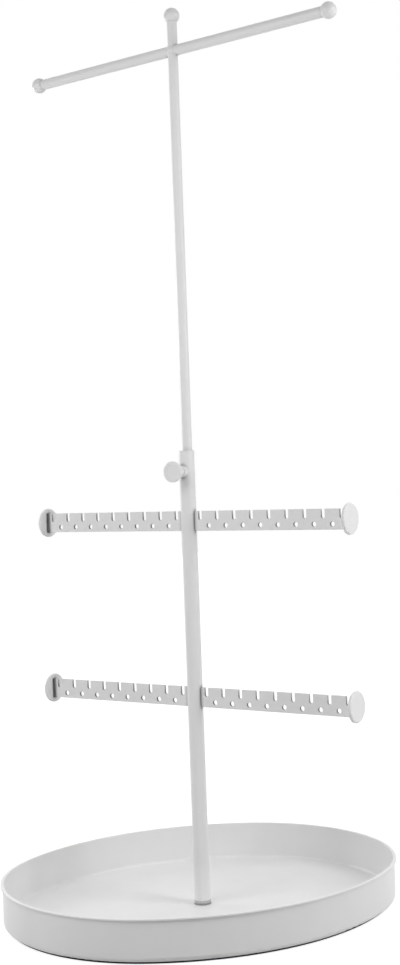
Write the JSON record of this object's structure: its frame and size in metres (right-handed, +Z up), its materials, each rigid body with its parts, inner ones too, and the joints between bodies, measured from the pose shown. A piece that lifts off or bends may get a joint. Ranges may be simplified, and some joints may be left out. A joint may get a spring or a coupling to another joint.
{
  "type": "jewellery stand",
  "caption": "Free-standing jewellery stand: slotted bars and a height-adjustable ball-ended top bar on a post in a shallow oval tray.",
  "frame": {"origin": "on the post's axis at the ground, at the underside of the base pad", "axes": "+Z up along the post, +X along the slotted bars to the right, -Y towards the thumbscrew"},
  "size_m": [0.235, 0.24, 0.5433],
  "materials": {
    "powder_coat": "fine matt powder coat, off-white",
    "non_slip_sheet": "matt dark foam rubber",
    "zinc_steel": "bright zinc plate",
    "nylon": "natural nylon"
  },
  "bodies": {
    "stand": {"base_pad": "non_slip_sheet", "tray": "powder_coat", "base_screw": "zinc_steel", "foot_plug": "powder_coat", "post_tube": "powder_coat", "lower_left_bar": "powder_coat", "lower_left_disc": "powder_coat", "lower_right_bar": "powder_coat", "lower_right_disc": "powder_coat", "upper_left_bar": "powder_coat", "upper_left_disc": "powder_coat", "upper_right_bar": "powder_coat", "upper_right_disc": "powder_coat", "clamp_boss": "powder_coat"},
    "rod_glide": {"rod_end_plug": "nylon"},
    "mast": {"height_rod": "powder_coat", "left_arm": "powder_coat", "left_ball": "powder_coat", "right_arm": "powder_coat", "right_ball": "powder_coat", "top_ball": "powder_coat"},
    "clamp_tip": {"clamp_pad": "nylon"},
    "thumbscrew": {"clamp_knob": "powder_coat", "clamp_stud": "zinc_steel"}
  },
  "joints": [
    {"name": "rod_slide", "type": "slide", "parent": "stand", "child": "rod_glide", "axis": [0, 0, 1], "range_m": [-0.225, 0.01]},
    {"name": "rod_swivel", "type": "hinge", "parent": "rod_glide", "child": "mast", "pos_m": [0, 0.001, 0.2464], "axis": [0, 0, 1], "continuous": true},
    {"name": "tip_travel", "type": "slide", "parent": "stand", "child": "clamp_tip", "axis": [0, -1, 0], "range_m": [0, 0.0014]},
    {"name": "thumbscrew_turn", "type": "hinge", "parent": "clamp_tip", "child": "thumbscrew", "pos_m": [0, 0, 0.2637], "axis": [0, -1, 0], "range_deg": [0, 720]}
  ],
  "couplings": [
    {"joint": "tip_travel", "follows": "thumbscrew_turn", "m_per_rad": 0.00011141}
  ]
}
